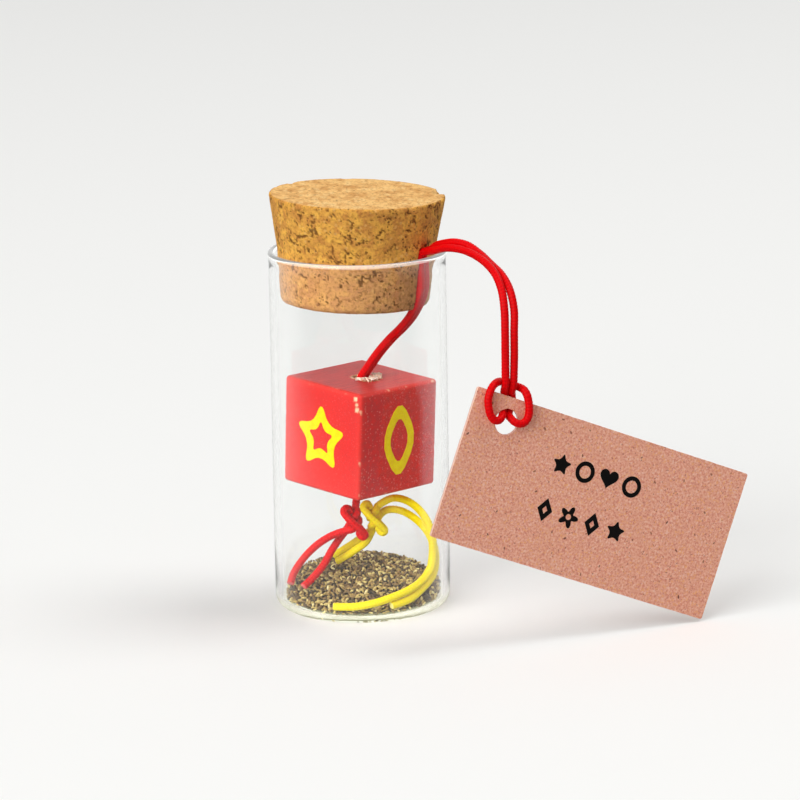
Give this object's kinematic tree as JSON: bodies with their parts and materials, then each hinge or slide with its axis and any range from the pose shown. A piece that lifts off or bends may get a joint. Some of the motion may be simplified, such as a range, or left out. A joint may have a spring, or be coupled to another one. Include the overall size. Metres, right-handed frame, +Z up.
{
  "type": "corked glass vial",
  "caption": "Small clear glass vial with a cork stopper. A painted wooden cube bead hangs inside on a doubled cord above a bed of seeds, and a card tag is tied to the cord outside.",
  "frame": {"origin": "centre of the vial's flat base, on the surface it stands on", "axes": "+Z up along the vial's axis, -Y towards the viewer of the picture, +X to the side where the tag hangs"},
  "size_m": [0.0668, 0.042, 0.0599],
  "materials": {
    "clear_glass": "gloss",
    "cork": "matte",
    "red_paint": "satin",
    "red_cord": "satin",
    "yellow_cord": "satin",
    "brown_card": "matte",
    "seeds": "matte"
  },
  "bodies": {
    "vial": {"glass_vial": "clear_glass", "seed_bed": "seeds", "red_inner_a": "red_cord", "red_inner_b": "red_cord", "red_outer_a": "red_cord", "red_outer_b": "red_cord", "yellow_cord_a": "yellow_cord", "yellow_cord_b": "yellow_cord"},
    "cork": {"cork_stopper": "cork"},
    "cube": {"wooden_cube": "red_paint"},
    "hitch": {"tag_hitch": "red_cord"},
    "tag": {"gift_tag": "brown_card"}
  },
  "joints": [
    {"name": "cork_lift", "type": "slide", "parent": "vial", "child": "cork", "axis": [0, 0, 1], "range_m": [0, 0.012]},
    {"name": "cube_spin", "type": "hinge", "parent": "vial", "child": "cube", "pos_m": [0, 0, 0.0255], "axis": [0.0401, -0.0227, 0.9989], "continuous": true},
    {"name": "cord_twist", "type": "hinge", "parent": "vial", "child": "hitch", "pos_m": [0.02053, -0.02326, 0.0413], "axis": [0, 0, 1], "range_deg": [-75, 75]},
    {"name": "tag_swing", "type": "hinge", "parent": "hitch", "child": "tag", "pos_m": [0.0199, -0.0234, 0.03167], "axis": [0.4139, -0.9083, 0.061], "range_deg": [0, 25]}
  ]
}
